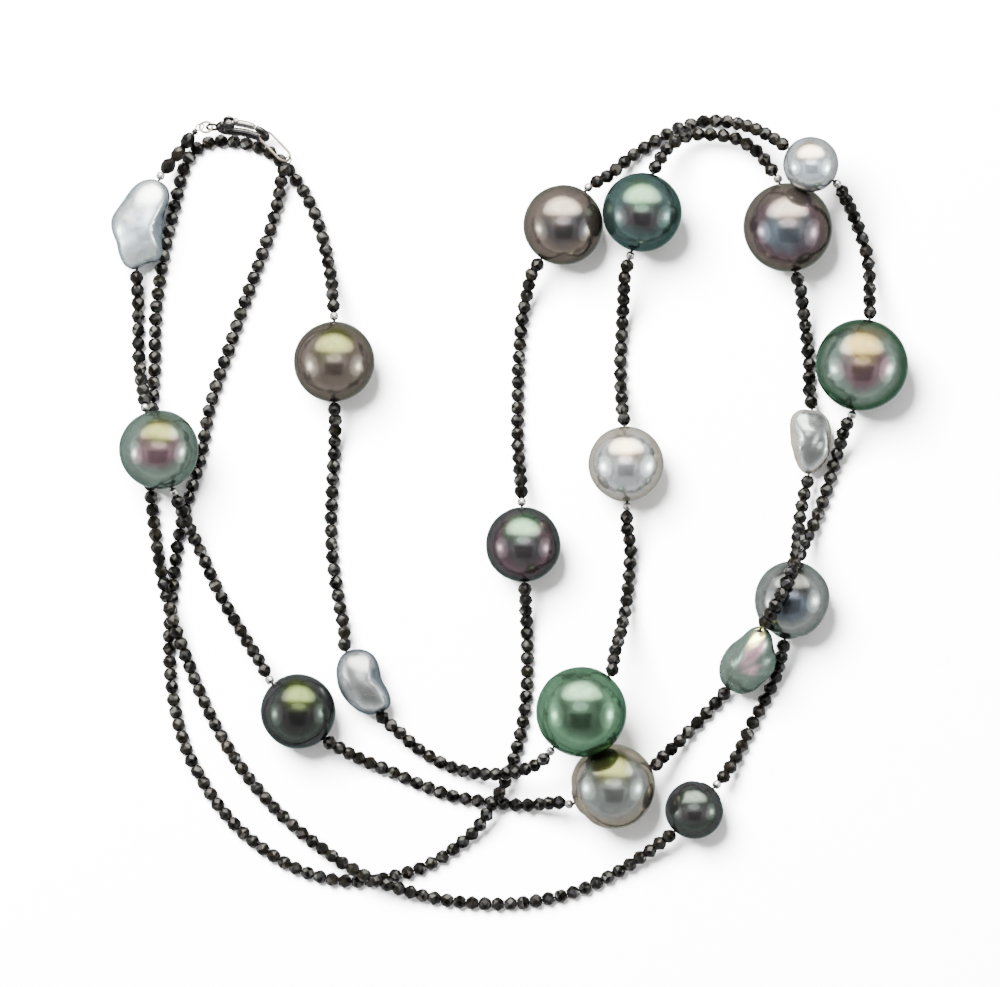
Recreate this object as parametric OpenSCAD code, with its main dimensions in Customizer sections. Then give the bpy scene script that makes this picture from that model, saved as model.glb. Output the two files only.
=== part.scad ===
// Long pearl rope necklace laid down in loops on a flat surface. Eighteen drilled pearls,
// runs of small faceted beads and white-metal spacers are strung on one thread, and a
// lobster clasp joins the two ends. The strand is held in its laid shape, +Z up, with the
// surface it lies on at z = 0 and the middle of the laid shape at the origin.

/* [Thread] */
// Diameter of the thread
thread_d = 0.35; // [0.25:0.05:0.45]
// Longest straight piece of the thread between two bends
thread_step = 5.4; // [5:0.2:9]

/* [Faceted beads] */
// Widest diameter of a bead
bead_d = 2.04; // [1.9:0.02:2.06]
// Length of a bead along its hole
bead_len = 1.68; // [1.5:0.02:1.7]
// Least distance from one bead to the next along the thread
bead_pitch = 1.84; // [1.84:0.02:2.1]
// Share of a bead's room that may be missing when a run takes one bead more
squeeze = 0.12; // [0:0.01:0.12]
// Diameter of the hole through a bead
bead_bore = 0.6; // [0.55:0.01:0.65]

/* [Spacer beads] */
// Diameter of a white-metal spacer
spacer_d = 1.25; // [1.1:0.05:1.4]
// Length of a spacer along its hole
spacer_len = 1.05; // [0.9:0.05:1.2]
// Diameter of the hole through a spacer
spacer_bore = 0.44; // [0.42:0.01:0.46]
// Bare thread on each side of a spacer
spacer_gap = 0.22; // [0.2:0.02:0.4]

/* [Pearls] */
// Diameter of the hole drilled through a pearl
pearl_bore = 0.8; // [0.7:0.05:1]
// Bare thread between a pearl and the first bead
pearl_gap = 0.2; // [0.16:0.02:0.3]

/* [Clasp] */
// Length of the straight arms of the claw
arm_len = 3.7; // [3.5:0.1:4]
// Distance between the middles of the two arms
arm_gap = 3.0; // [2.8:0.1:3.2]
// Diameter of the claw's arms
arm_d = 1.0; // [0.9:0.05:1.1]
// Diameter of the lever's arm
lever_d = 0.8; // [0.7:0.05:0.9]
// Lean of the claw out of the horizontal
clasp_lean = 60; // [50:1:65]
// Diameter of the wire in the claw's eye and in the long end ring
ring_wire = 0.4; // [0.35:0.05:0.4]
// Diameter of the wire in the jump ring
jump_wire = 0.36; // [0.3:0.02:0.4]
// Diameter of the thread where it loops round a ring
loop_wire = 0.2; // [0.16:0.02:0.2]

/* [Hidden] */
$fn = 48;
bore_fn = 24;
thread_sides = 8;
curve_step = 0.9;
lowest_z = bead_d / 2 + 0.01;
through = 40;

// Clasp, in its own frame: the pin's place, and the cheeks and slot that hold the lever
clasp_place = [-38.5, 56.1, 3.5];
pivot = [-2.0, 1.4, 0];
pin_r = 0.25;
pin_play = 0.04;
cheek_t = 0.42;
cheek_r = 0.85;
slot_half = 0.36;
slot_floor = 0.75;
slot_reach = 3;
neck_d = 0.7;
neck_len = 0.7;
neck_out = 0.6;
eye_r = 0.75;
eye_x = -4.45;

// Lever: hub, tongue to the arm, gaps to the cheeks and nose, and thumb tab
hub_r = 0.6;
tongue = [1.5, 0.5];
tongue_drop = 0.2;
side_play = 0.06;
arm_gap_x = 0.25;
tip_gap = 0.1;
tab_in = 0.2;
tab_out = 1.0;
tab_lean = 0.3;
tab_neck_d = 0.5;
tab_d = 0.9;
spring_size = [0.9, 0.1, 0.4];
spring_back = 0.1;

// The round jump ring hangs in the clasp's eye, and the long end ring runs from inside the
// claw's nose to the last bead
jump_r = 0.9;
jump_x = eye_x - jump_r;
oval_start = clasp_place + [2.5, 0.3, -0.4];
oval_end = [-31.9, 51.3, 3.6];
oval_r = 1.15;
oval_roll = 48;

// Each end of the thread: the ring it is tied to, the way it leaves that ring, the size
// of its loop and the room that the loop and the crimp take
left_ring = clasp_place + [jump_x - jump_r, 0, 0];
left_dir = unit([-0.72, -0.69, -0.3]);
left_loop_r = 0.6;
left_end = left_ring + left_dir * 1.35;
right_dir = unit([0.47, 0.86, 0.15]);
right_loop_r = 0.48;
right_end = oval_end - right_dir * 0.5;
crimp_d = 0.9;
crimp_len = 0.6;
crimp_play = 0.06;

// Pearls in the order of the thread: name, middle, heading of the hole in degrees from
// +X, rise of the hole in degrees, length along the hole, width across, colour, and its
// form: none for a round one, a taper for an egg, or height, taper, bulge and sway for a
// pebble
PEARLS = [
    ["pearl_01_baroque", [-52.3, 41.8, 3.75], -104, -3, 13.4, 6.9, "#dfe4e0", [7.2, 0.1, -1.3, -0.5]],
    ["pearl_02_peacock", [-50.5, 9.2, 7.7], -71, 0, 11.5, 11.5, "#6f7d70", []],
    ["pearl_03_black_green", [-30.4, -28.7, 5.5], -47, 0, 10.9, 10.9, "#35403a", []],
    ["pearl_04_olive", [15.2, -39.5, 6.15], 24, 0, 12.3, 12.3, "#b3b1a8", []],
    ["pearl_05_drop", [34.3, -20.9, 5.6], 62.5, 35.5, 12.3, 7.2, "#b9c3b0", [7.6, -0.25, -1.1, 0]],
    ["pearl_06_keshi", [43.9, 10.4, 3.0], 87, 0, 9.4, 5.9, "#dfe0dc", [5.6, -0.12, 0, 0]],
    ["pearl_07_aubergine", [40.5, 41.4, 6.45], 100, 0, 12.9, 12.9, "#7b6a70", []],
    ["pearl_08_teal", [19.4, 43.6, 7.5], -105, 0, 11.5, 11.5, "#5d7f78", []],
    ["pearl_09_champagne", [17.1, 7.2, 5.45], -88, 0, 10.9, 10.9, "#d3cfc8", []],
    ["pearl_10_mint", [10.6, -28.6, 10.95], -128, 0, 13.0, 13.0, "#6d8f72", []],
    ["pearl_11_kidney", [-21.2, -24.4, 3.6], 118, 0, 9.8, 6.4, "#a7aba6", [6.8, 0, 0.5, 0]],
    ["pearl_12_bronze", [-25.2, 22.0, 5.85], 90, 0, 11.7, 11.7, "#a58f80", []],
    ["pearl_13_charcoal", [27.0, -43.0, 4.2], 48, 0, 8.4, 8.4, "#4b524c", []],
    ["pearl_14_blue_grey", [41.1, -12.6, 5.4], 80, 0, 11.4, 10.7, "#8c9698", [0.06]],
    ["pearl_15_green_gold", [51.2, 21.5, 6.65], 80, 0, 13.3, 13.3, "#8a9a80", []],
    ["pearl_16_dove", [43.7, 50.4, 10.9], 144, 0, 8.0, 8.0, "#c9ccce", []],
    ["pearl_17_peach", [8.0, 41.8, 5.85], -123, 0, 11.6, 11.6, "#b9a99c", []],
    ["pearl_18_plum", [2.2, -4.5, 5.45], -88, 0, 10.9, 10.9, "#4f4a50", []]
];

// Runs of faceted beads in the order of the thread: name, a spacer at the start, a spacer
// at the end, and the points the thread passes between the two pearls
RUNS = [
    ["beads_clasp_to_01", 0, 1, [
        [-47.0, 53.5, 2.5], [-48.4, 51.6, 2.8]]],
    ["beads_01_to_02", 0, 1, [
        [-53.9, 33.4, 2.6], [-53.8, 30.4, 1.4], [-53.8, 26.8, 1.05], [-53.7, 23.2, 1.6],
        [-53.3, 19.6, 3.4], [-52.7, 16.8, 6.0]]],
    ["beads_02_to_03", 1, 1, [
        [-48.0, 2.2, 7.2], [-47.2, 0.2, 5.6], [-46.0, -2.6, 3.0], [-44.4, -6.2, 1.3],
        [-42.2, -11.2, 1.05], [-39.6, -15.8, 1.3], [-37.4, -19.4, 2.6],
        [-35.8, -21.8, 4.4]]],
    ["beads_03_to_04", 0, 1, [
        [-25.2, -33.6, 4.6], [-22.0, -35.4, 2.4], [-17.4, -37.4, 1.05],
        [-12.8, -39.4, 1.05], [-8.4, -41.0, 1.05], [-2.6, -42.0, 1.05],
        [2.0, -42.4, 1.6], [5.0, -42.2, 3.2], [7.4, -41.9, 5.2]]],
    ["beads_04_to_05", 0, 0, [
        [22.2, -35.6, 4.6], [24.8, -33.2, 2.4], [27.4, -30.6, 1.2],
        [30.0, -27.8, 1.05]]],
    ["beads_05_to_06", 0, 0, [
        [37.6, -14.9, 10.6], [38.7, -12.8, 12.3], [39.9, -10.4, 12.6],
        [41.0, -8.0, 11.4], [41.7, -5.8, 9.0], [42.0, -3.4, 6.5], [42.3, -0.8, 4.4],
        [42.9, 2.2, 3.2]]],
    ["beads_06_to_07", 0, 0, [
        [43.8, 17.6, 2.0], [43.8, 21.6, 1.2], [43.4, 25.6, 2.0], [42.8, 29.8, 4.0],
        [42.4, 32.6, 5.6]]],
    ["beads_07_to_08", 1, 0, [
        [38.0, 50.0, 6.2], [36.0, 52.6, 5.0], [33.0, 54.4, 3.8], [29.4, 55.0, 3.4],
        [26.0, 54.8, 3.8], [23.4, 53.2, 5.0], [21.8, 51.0, 6.6]]],
    ["beads_08_to_09", 1, 0, [
        [17.0, 35.0, 6.6], [16.8, 31.4, 4.2], [16.6, 27.4, 2.0], [16.4, 23.0, 1.05],
        [16.4, 18.6, 1.8], [16.6, 15.0, 4.0]]],
    ["beads_09_to_10", 1, 0, [
        [17.2, -1.2, 4.6], [17.8, -5.0, 2.4], [17.6, -9.0, 1.6], [17.2, -12.8, 2.6],
        [16.4, -16.8, 5.2], [15.4, -20.2, 8.6]]],
    ["beads_10_to_11", 1, 0, [
        [5.0, -35.6, 10.2], [1.8, -37.2, 7.6], [-1.8, -37.8, 4.8], [-5.4, -37.6, 2.4],
        [-9.0, -36.6, 1.2], [-12.8, -34.4, 1.2], [-15.8, -31.8, 2.2]]],
    ["beads_11_to_12", 0, 0, [
        [-23.8, -17.2, 2.6], [-24.7, -12.2, 1.1], [-25.6, -5.6, 1.05],
        [-25.7, 1.0, 1.05], [-25.4, 6.6, 1.05], [-25.2, 10.4, 2.2], [-25.1, 13.8, 4.6]]],
    ["beads_12_to_13", 1, 0, [
        [-25.4, 31.0, 4.8], [-25.8, 34.6, 2.4], [-26.6, 38.6, 1.2], [-28.2, 43.8, 1.05],
        [-30.2, 47.6, 1.05], [-32.2, 50.3, 1.05], [-34.2, 52.2, 1.05],
        [-37.4, 53.6, 1.05], [-40.6, 54.1, 1.05], [-43.4, 54.0, 1.05],
        [-45.4, 53.0, 1.05], [-46.8, 51.0, 1.05], [-47.8, 47.8, 1.05],
        [-48.6, 44.2, 1.05], [-49.4, 40.8, 1.05],
        [-50.2, 36.8, 1.05], [-50.9, 32.4, 1.05], [-51.3, 27.4, 1.05],
        [-51.4, 22.0, 1.05], [-51.6, 17.2, 1.05], [-52.1, 12.2, 1.05],
        [-52.2, 7.0, 1.05], [-51.9, 2.4, 1.05], [-51.4, -2.2, 1.1],
        [-50.8, -6.4, 1.9], [-49.9, -10.8, 3.1], [-49.0, -14.4, 3.3],
        [-47.9, -17.8, 2.5], [-46.4, -22.0, 1.2], [-44.0, -27.8, 1.05],
        [-40.9, -33.8, 1.05], [-37.0, -39.4, 1.05], [-32.4, -44.4, 1.05],
        [-27.2, -48.6, 1.6], [-23.0, -51.4, 3.0], [-19.4, -53.2, 3.4],
        [-15.6, -54.6, 2.4], [-11.4, -55.8, 1.2], [-6.2, -56.6, 1.05],
        [-0.6, -56.8, 1.05], [5.0, -56.2, 1.05], [10.4, -54.8, 1.05],
        [15.4, -52.4, 1.3], [19.8, -49.6, 2.4], [22.6, -47.4, 3.6]]],
    ["beads_13_to_14", 1, 0, [
        [31.6, -37.8, 3.0], [33.6, -34.6, 1.3], [35.5, -30.6, 1.05],
        [37.4, -27.0, 1.05], [38.8, -24.0, 1.8], [39.6, -21.2, 3.7]]],
    ["beads_14_to_15", 0, 1, [
        [42.6, -5.2, 4.8], [43.6, -3.2, 3.0], [44.8, -0.8, 1.6], [46.0, 2.4, 1.05],
        [47.2, 6.4, 1.4], [48.2, 10.0, 3.2], [49.0, 12.8, 5.4]]],
    ["beads_15_to_16", 0, 1, [
        [52.4, 31.2, 5.4], [52.4, 35.0, 3.8], [51.8, 38.8, 3.4], [50.6, 42.0, 4.8],
        [49.0, 45.2, 8.0]]],
    ["beads_16_to_17", 0, 1, [
        [38.4, 54.2, 9.0], [35.6, 55.8, 6.4], [32.4, 56.8, 3.4], [28.6, 57.0, 1.4],
        [24.6, 55.9, 1.05], [21.2, 54.0, 1.05], [17.8, 51.8, 1.8], [14.8, 49.2, 3.8]]],
    ["beads_17_to_18", 0, 1, [
        [3.5, 34.8, 4.8], [2.7, 31.6, 2.6], [2.0, 28.0, 1.3], [1.6, 23.0, 1.05],
        [1.4, 16.4, 1.05], [1.4, 10.6, 1.3], [1.7, 6.4, 2.8], [1.9, 3.6, 4.4]]],
    ["beads_18_to_clasp", 0, 0, [
        [2.5, -12.4, 4.2], [2.7, -15.8, 2.0], [2.8, -20.6, 1.05], [2.7, -25.6, 1.05],
        [2.1, -30.6, 1.05], [0.9, -35.4, 1.4], [-0.6, -39.4, 2.8], [-2.4, -42.4, 3.2],
        [-4.2, -45.4, 2.2], [-7.4, -48.4, 1.1], [-12.0, -51.3, 1.05],
        [-16.8, -52.8, 1.05], [-20.8, -53.5, 1.05], [-25.2, -53.3, 1.05],
        [-30.2, -51.9, 1.05], [-35.6, -48.8, 1.05], [-40.2, -44.8, 1.05],
        [-44.0, -39.6, 1.05], [-46.8, -34.2, 1.05], [-48.4, -28.6, 1.05],
        [-49.1, -23.4, 1.05], [-49.3, -18.4, 1.05], [-49.0, -13.4, 1.05],
        [-48.6, -9.0, 1.05], [-48.0, -4.0, 1.05], [-47.0, 0.4, 1.05],
        [-45.7, 4.6, 1.05], [-44.6, 8.6, 1.05], [-43.8, 13.6, 1.05],
        [-42.4, 18.8, 1.05], [-40.6, 24.0, 1.05], [-38.8, 29.4, 1.05],
        [-36.9, 34.6, 1.05], [-35.0, 40.0, 1.05], [-33.9, 43.6, 1.05],
        [-33.3, 46.2, 1.5], [-33.0, 48.2, 2.5]]]
];

// ---- vectors and curves ----

function unit(v) = v / norm(v);

function heading(azimuth, rise) =
    [cos(rise) * cos(azimuth), cos(rise) * sin(azimuth), sin(rise)];

function pearl_dir(pearl) = heading(pearl[2], pearl[3]);
function pearl_entry(pearl) = pearl[1] - pearl_dir(pearl) * pearl[4] / 2;
function pearl_exit(pearl) = pearl[1] + pearl_dir(pearl) * pearl[4] / 2;

// Direction of the curve at each of its points; the ends have stated directions
function tangent(points, i, first, last) =
    i == 0 ? first :
    i == len(points) - 1 ? last :
    let (back = points[i] - points[i - 1], ahead = points[i + 1] - points[i])
    unit(back * norm(ahead) / norm(back) + ahead * norm(back) / norm(ahead));

function blend(p, q, tp, tq, u) =
    let (h = norm(q - p))
    p * (1 + u * u * (2 * u - 3)) + q * (u * u * (3 - 2 * u))
    + tp * h * (u * (1 - u) * (1 - u)) + tq * h * (u * u * (u - 1));

function above_floor(p) = [p[0], p[1], max(p[2], lowest_z)];

// Smooth curve through the points, cut into pieces no longer than step
function smooth(points, first, last, step) = concat(
    [for (i = [0:len(points) - 2])
        let (
            pieces = ceil(norm(points[i + 1] - points[i]) / step),
            tp = tangent(points, i, first, last),
            tq = tangent(points, i + 1, first, last))
        for (k = [0:pieces - 1])
            above_floor(blend(points[i], points[i + 1], tp, tq, k / pieces))],
    [points[len(points) - 1]]);

// Table of distance along the curve against one coordinate, for lookup()
function distances(points) =
    [for (i = 0, s = 0; i < len(points);
        s = s + (i + 1 < len(points) ? norm(points[i + 1] - points[i]) : 0), i = i + 1) s];
function table(points, s, axis) = [for (i = [0:len(points) - 1]) [s[i], points[i][axis]]];
function at(tables, s) = [lookup(s, tables[0]), lookup(s, tables[1]), lookup(s, tables[2])];

// ---- the runs ----

function run_points(i) = concat(
    [i == 0 ? left_end : pearl_exit(PEARLS[i - 1])],
    RUNS[i][3],
    [i == len(PEARLS) ? right_end : pearl_entry(PEARLS[i])]);
function run_first(i) = i == 0 ? left_dir : pearl_dir(PEARLS[i - 1]);
function run_last(i) = i == len(PEARLS) ? right_dir : pearl_dir(PEARLS[i]);
function run_curve(i, step) = smooth(run_points(i), run_first(i), run_last(i), step);

// Length that a spacer, or the bare thread beside a pearl, takes from the end of a run
function end_room(has_spacer) = has_spacer ? spacer_len + 2 * spacer_gap : pearl_gap;

// Place and direction on the curve at a distance s from its start
function place(tables, s) =
    let (reach = bead_len / 4)
    [at(tables, s), unit(at(tables, s + reach) - at(tables, s - reach))];

function bead_places(i) =
    let (
        curve = run_curve(i, curve_step),
        s = distances(curve),
        tables = [for (axis = [0:2]) table(curve, s, axis)],
        from = end_room(RUNS[i][1]),
        room = s[len(s) - 1] - from - end_room(RUNS[i][2]),
        count = floor(room / bead_pitch + squeeze))
    [for (k = [0:count - 1]) place(tables, from + room * (k + 0.5) / count)];

function spacer_places(i) =
    let (
        curve = run_curve(i, curve_step),
        s = distances(curve),
        tables = [for (axis = [0:2]) table(curve, s, axis)],
        inset = spacer_gap + spacer_len / 2)
    concat(
        RUNS[i][1] ? [place(tables, inset)] : [],
        RUNS[i][2] ? [place(tables, s[len(s) - 1] - inset)] : []);

// ---- shared shapes ----

module along(direction) {
    rotate([0, acos(direction[2]), atan2(direction[1], direction[0])]) children();
}

module bored_turning(profile, bore) {
    difference() {
        rotate_extrude() polygon(profile);
        cylinder(d = bore, h = through, center = true, $fn = bore_fn);
    }
}

// A bead: wide girdle, two sloping rows of facets each way, small flat ends
module bead_shape(d, length, bore) {
    r = d / 2;
    h = length / 2;
    bored_turning([
        [0, -h], [r * 0.42, -h], [r * 0.84, -h * 0.55], [r, -h * 0.14],
        [r, h * 0.14], [r * 0.84, h * 0.55], [r * 0.42, h], [0, h]], bore);
}

module torus(ring_r, wire_d) {
    rotate_extrude() translate([ring_r, 0]) circle(d = wire_d, $fn = bore_fn);
}

module half_torus(ring_r, wire_d) {
    rotate_extrude(angle = 180) translate([ring_r, 0]) circle(d = wire_d, $fn = bore_fn);
}

module rod(from, to, d) {
    translate(from) along(unit(to - from)) cylinder(d = d, h = norm(to - from));
}

// ---- thread ----

function ring_at(p, direction) =
    let (side = unit(cross([0, 0, 1], direction)), up = cross(direction, side))
    [for (k = [0:thread_sides - 1])
        p + thread_d / 2 * (cos(360 * k / thread_sides) * side
            + sin(360 * k / thread_sides) * up)];

module thread() {
    path = [for (i = [0:len(RUNS) - 1]) each run_curve(i, thread_step)];
    last = len(path) - 1;
    rings = [for (i = [0:last])
        each ring_at(path[i], unit(path[min(i + 1, last)] - path[max(i - 1, 0)]))];
    sides = [for (i = [0:last - 1], k = [0:thread_sides - 1])
        let (a = i * thread_sides, b = a + thread_sides, n = (k + 1) % thread_sides)
        [a + k, b + k, b + n, a + n]];
    start_cap = [for (k = [0:thread_sides - 1]) k];
    end_cap = [for (k = [thread_sides - 1:-1:0]) last * thread_sides + k];
    color("#4a4642") polyhedron(rings, concat([start_cap], sides, [end_cap]));
}

// ---- beads ----

module bead_run(i) {
    color("#24221f")
        for (bead = bead_places(i))
            translate(bead[0]) along(bead[1]) bead_shape(bead_d, bead_len, bead_bore);
}

module spacer_beads() {
    color("#d8d8d6")
        for (i = [0:len(RUNS) - 1], spacer = spacer_places(i))
            translate(spacer[0]) along(spacer[1]) bead_shape(spacer_d, spacer_len, spacer_bore);
}

// ---- pearls ----

// Half outline of a round-ended shape turned about its hole, fatter towards one end
function egg_outline(length, width, taper) =
    [for (t = [0:7.5:180])
        [width / 2 * sin(t) * (1 - taper * cos(t)), -length / 2 * cos(t)]];

module egg_pearl(length, width, taper) {
    bored_turning(egg_outline(length, width, taper), pearl_bore);
}

module round_pearl(d) {
    difference() {
        sphere(d = d);
        cylinder(d = pearl_bore, h = through, center = true, $fn = bore_fn);
    }
}

// An irregular pearl: rings round the hole, made fatter towards one end by taper, pushed to
// one side by bulge, and by sway to one side at the start and to the other at the end; X is
// across the pearl's height and Y across its width
module pebble(length, width, height, taper, bulge, sway) {
    rows = 16;
    columns = 20;
    rings = [for (i = [1:rows - 1], k = [0:columns - 1])
        let (
            t = 180 * i / rows,
            a = 360 * k / columns,
            r = pow(sin(t), 0.8) * (1 - taper * cos(t)))
        [height / 2 * r * cos(a),
         width / 2 * r * sin(a) + bulge * sin(t) + sway * sin(2 * t),
         -length / 2 * cos(t)]];
    points = concat([[0, 0, -length / 2]], rings, [[0, 0, length / 2]]);
    top = len(points) - 1;
    sides = [for (i = [0:rows - 3], k = [0:columns - 1])
        let (a = 1 + i * columns, b = a + columns, n = (k + 1) % columns)
        each [[a + k, b + k, b + n], [a + k, b + n, a + n]]];
    caps = [for (k = [0:columns - 1])
        let (n = (k + 1) % columns, b = 1 + (rows - 2) * columns)
        each [[0, 1 + k, 1 + n], [top, b + n, b + k]]];
    difference() {
        polyhedron(points, concat(sides, caps));
        cylinder(d = pearl_bore, h = through, center = true, $fn = bore_fn);
    }
}

module pearl(i) {
    pearl = PEARLS[i];
    form = pearl[7];
    color(pearl[6]) translate(pearl[1]) along(pearl_dir(pearl)) {
        if (len(form) == 4) pebble(pearl[4], pearl[5], form[0], form[1], form[2], form[3]);
        else if (len(form) == 1) egg_pearl(pearl[4], pearl[5], form[0]);
        else round_pearl(pearl[5]);
    }
}

// ---- clasp, in its own frame: X from eye to nose, Y towards the lever ----

module in_clasp() {
    translate(clasp_place) rotate([clasp_lean, 0, 0]) children();
}

module clasp_body() {
    half_gap = arm_gap / 2;
    half_arm = arm_len / 2;
    neck_from = -half_arm - half_gap - neck_out;
    color("#c9c9c7") in_clasp() difference() {
        union() {
            // claw: back arm, nose and the curved hub end
            rod([-half_arm, -half_gap, 0], [half_arm, -half_gap, 0], arm_d);
            translate([half_arm, 0, 0]) rotate([0, 0, -90]) half_torus(half_gap, arm_d);
            translate([-half_arm, 0, 0]) rotate([0, 0, 90]) half_torus(half_gap, arm_d);
            // cheeks that carry the lever's pin
            translate(pivot) cylinder(r = cheek_r, h = 2 * (slot_half + cheek_t), center = true);
            // neck and eye for the jump ring
            rod([neck_from, 0, 0], [neck_from + neck_len, 0, 0], neck_d);
            translate([eye_x, 0, 0]) torus(eye_r, ring_wire);
        }
        // slot for the lever between the cheeks, open towards the nose
        translate(pivot - [slot_floor, slot_floor, slot_half])
            cube([slot_reach, slot_reach, 2 * slot_half]);
        translate(pivot) cylinder(r = pin_r, h = through, center = true, $fn = bore_fn);
    }
}

module clasp_lever() {
    arm_y = arm_gap / 2;
    arm_from = pivot[0] + cheek_r + arm_gap_x;
    hub_h = 2 * (slot_half - side_play);
    tab_foot = [arm_from + tab_in, arm_y, 0];
    tab_top = tab_foot + [-tab_lean, tab_out, 0];
    color("#dcdcda") in_clasp() difference() {
        union() {
            translate(pivot) cylinder(r = hub_r, h = hub_h, center = true);
            translate(pivot - [0, tongue_drop, hub_h / 2]) cube([tongue[0], tongue[1], hub_h]);
            rod([arm_from, arm_y, 0], [arm_len / 2 - tip_gap, arm_y, 0], lever_d);
            rod(tab_foot, tab_top, tab_neck_d);
            translate(tab_top) sphere(d = tab_d);
        }
        translate(pivot)
            cylinder(r = pin_r + pin_play, h = through, center = true, $fn = bore_fn);
    }
}

module lever_pin() {
    color("#b4b4b2") in_clasp() translate(pivot)
        cylinder(r = pin_r, h = 2 * (slot_half + cheek_t), center = true, $fn = bore_fn);
}

// Leaf spring under the lever's hub, seated on the floor of the slot
module lever_spring() {
    color("#9a9a98") in_clasp()
        translate(pivot - [spring_back, slot_floor, spring_size[2] / 2]) cube(spring_size);
}

module jump_ring() {
    color("#d0d0ce") in_clasp()
        translate([jump_x, 0, 0]) rotate([90, 0, 0]) torus(jump_r, jump_wire);
}

// Long oval ring, its length along the line from the claw to the last bead
module end_ring() {
    run = oval_end - oval_start;
    straight = norm(run) / 2 - oval_r;
    color("#d9d2c4") translate((oval_start + oval_end) / 2) along(unit(run))
        rotate([0, 0, oval_roll]) rotate([90, 0, 0]) {
            translate([0, straight, 0]) half_torus(oval_r, ring_wire);
            translate([0, -straight, 0]) rotate([0, 0, 180]) half_torus(oval_r, ring_wire);
            for (side = [-1, 1])
                rod([side * oval_r, -straight, 0], [side * oval_r, straight, 0], ring_wire);
        }
}

// ---- ends of the thread ----

// Ring of thread round a wire: it lies in the plane of the thread's way and is square to
// the wire as far as that allows
module thread_loop(middle, way, wire, r) {
    translate(middle) along(unit(wire - way * (wire * way))) torus(r, loop_wire);
}

module thread_loops() {
    jump_wire_way = [0, -sin(clasp_lean), cos(clasp_lean)];
    run = unit(oval_end - oval_start);
    left_of_run = unit(cross([0, 0, 1], run));
    below_run = cross(left_of_run, run);
    oval_wire_way = below_run * cos(oval_roll) + left_of_run * sin(oval_roll);
    color("#4a4642") {
        thread_loop(left_ring, left_dir, jump_wire_way, left_loop_r);
        thread_loop(oval_end, right_dir, oval_wire_way, right_loop_r);
    }
}

module crimp_bead() {
    color("#8f8a84") translate(left_end - left_dir * crimp_len / 2) along(left_dir)
        difference() {
            cylinder(d = crimp_d, h = crimp_len, center = true);
            cylinder(d = thread_d + crimp_play, h = through, center = true, $fn = bore_fn);
        }
}

thread();
for (i = [0:len(RUNS) - 1])
    bead_run(i);
for (i = [0:len(PEARLS) - 1])
    pearl(i);
spacer_beads();
crimp_bead();
thread_loops();
clasp_body();
clasp_lever();
lever_pin();
lever_spring();
jump_ring();
end_ring();
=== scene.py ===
# A long rope necklace laid in loops on a white table: eighteen drilled pearls of different
# colours, runs of small faceted black beads, white-metal spacers and a lobster clasp.
import math
import random

import bmesh
import bpy
from mathutils import Matrix, Vector, noise


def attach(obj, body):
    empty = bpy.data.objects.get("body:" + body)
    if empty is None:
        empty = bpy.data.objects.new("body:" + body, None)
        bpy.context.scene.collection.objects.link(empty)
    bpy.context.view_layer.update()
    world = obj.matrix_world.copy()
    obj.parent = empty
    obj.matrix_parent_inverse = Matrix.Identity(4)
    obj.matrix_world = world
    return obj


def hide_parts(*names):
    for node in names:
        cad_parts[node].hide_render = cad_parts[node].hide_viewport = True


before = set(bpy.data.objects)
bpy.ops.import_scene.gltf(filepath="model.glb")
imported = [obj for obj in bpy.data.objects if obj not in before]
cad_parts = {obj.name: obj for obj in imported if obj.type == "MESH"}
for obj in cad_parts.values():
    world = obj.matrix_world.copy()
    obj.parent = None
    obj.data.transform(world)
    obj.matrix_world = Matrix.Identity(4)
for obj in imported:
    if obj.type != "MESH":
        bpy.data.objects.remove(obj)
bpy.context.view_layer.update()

MM = 0.001
UP = Vector((0, 0, 1))

# ---- camera: straight down on the laid rope, a long way off ----

FRAME_MIDDLE = Vector((-1.16, 2.9, 5.0)) * MM
FRAME_WIDTH = 145.0 * MM
LENS = 300.0
SENSOR = 36.0


def make_camera():
    data = bpy.data.cameras.new("camera")
    data.sensor_width = SENSOR
    data.lens = LENS
    data.clip_start = 0.05
    data.clip_end = 20.0
    camera = bpy.data.objects.new("camera", data)
    camera.location = FRAME_MIDDLE + UP * FRAME_WIDTH * LENS / SENSOR
    bpy.context.scene.collection.objects.link(camera)
    bpy.context.scene.camera = camera


make_camera()

# ---- the strand's route, in millimetres: the CAD's sizes and points, but for SQUEEZE and
# OVAL_START ----

THREAD_D = 0.35
BEAD_D = 2.04
BEAD_PITCH = 1.84
# Less than the CAD's share: the first run is a hair longer here and keeps its three beads
SQUEEZE = 0.05
SPACER_D = 1.25
SPACER_LEN = 1.05
SPACER_GAP = 0.22
PEARL_BORE = 0.8
PEARL_GAP = 0.2
LOWEST_Z = BEAD_D / 2 + 0.01
# Longest step along a run's curve for the beads and for the thread, and how far a bead
# looks each way for its direction
TRACK_STEP = 0.9
THREAD_STEP = 2.0
SIGHT = 0.42

JUMP_MIDDLE = Vector((-43.85, 56.1, 3.5))
JUMP_R = 0.9
JUMP_WIRE = 0.36
# A little lower than the CAD's, so that the end ring stays hooked in the bowed claw
OVAL_START = Vector((-35.75, 55.35, 2.9))
OVAL_END = Vector((-31.9, 51.3, 3.6))
LEFT_RING = Vector((-44.75, 56.1, 3.5))
LEFT_DIR = Vector((-0.72, -0.69, -0.3)).normalized()
LEFT_END = LEFT_RING + LEFT_DIR * 1.35
RIGHT_DIR = Vector((0.47, 0.86, 0.15)).normalized()
RIGHT_END = OVAL_END - RIGHT_DIR * 0.5

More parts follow.
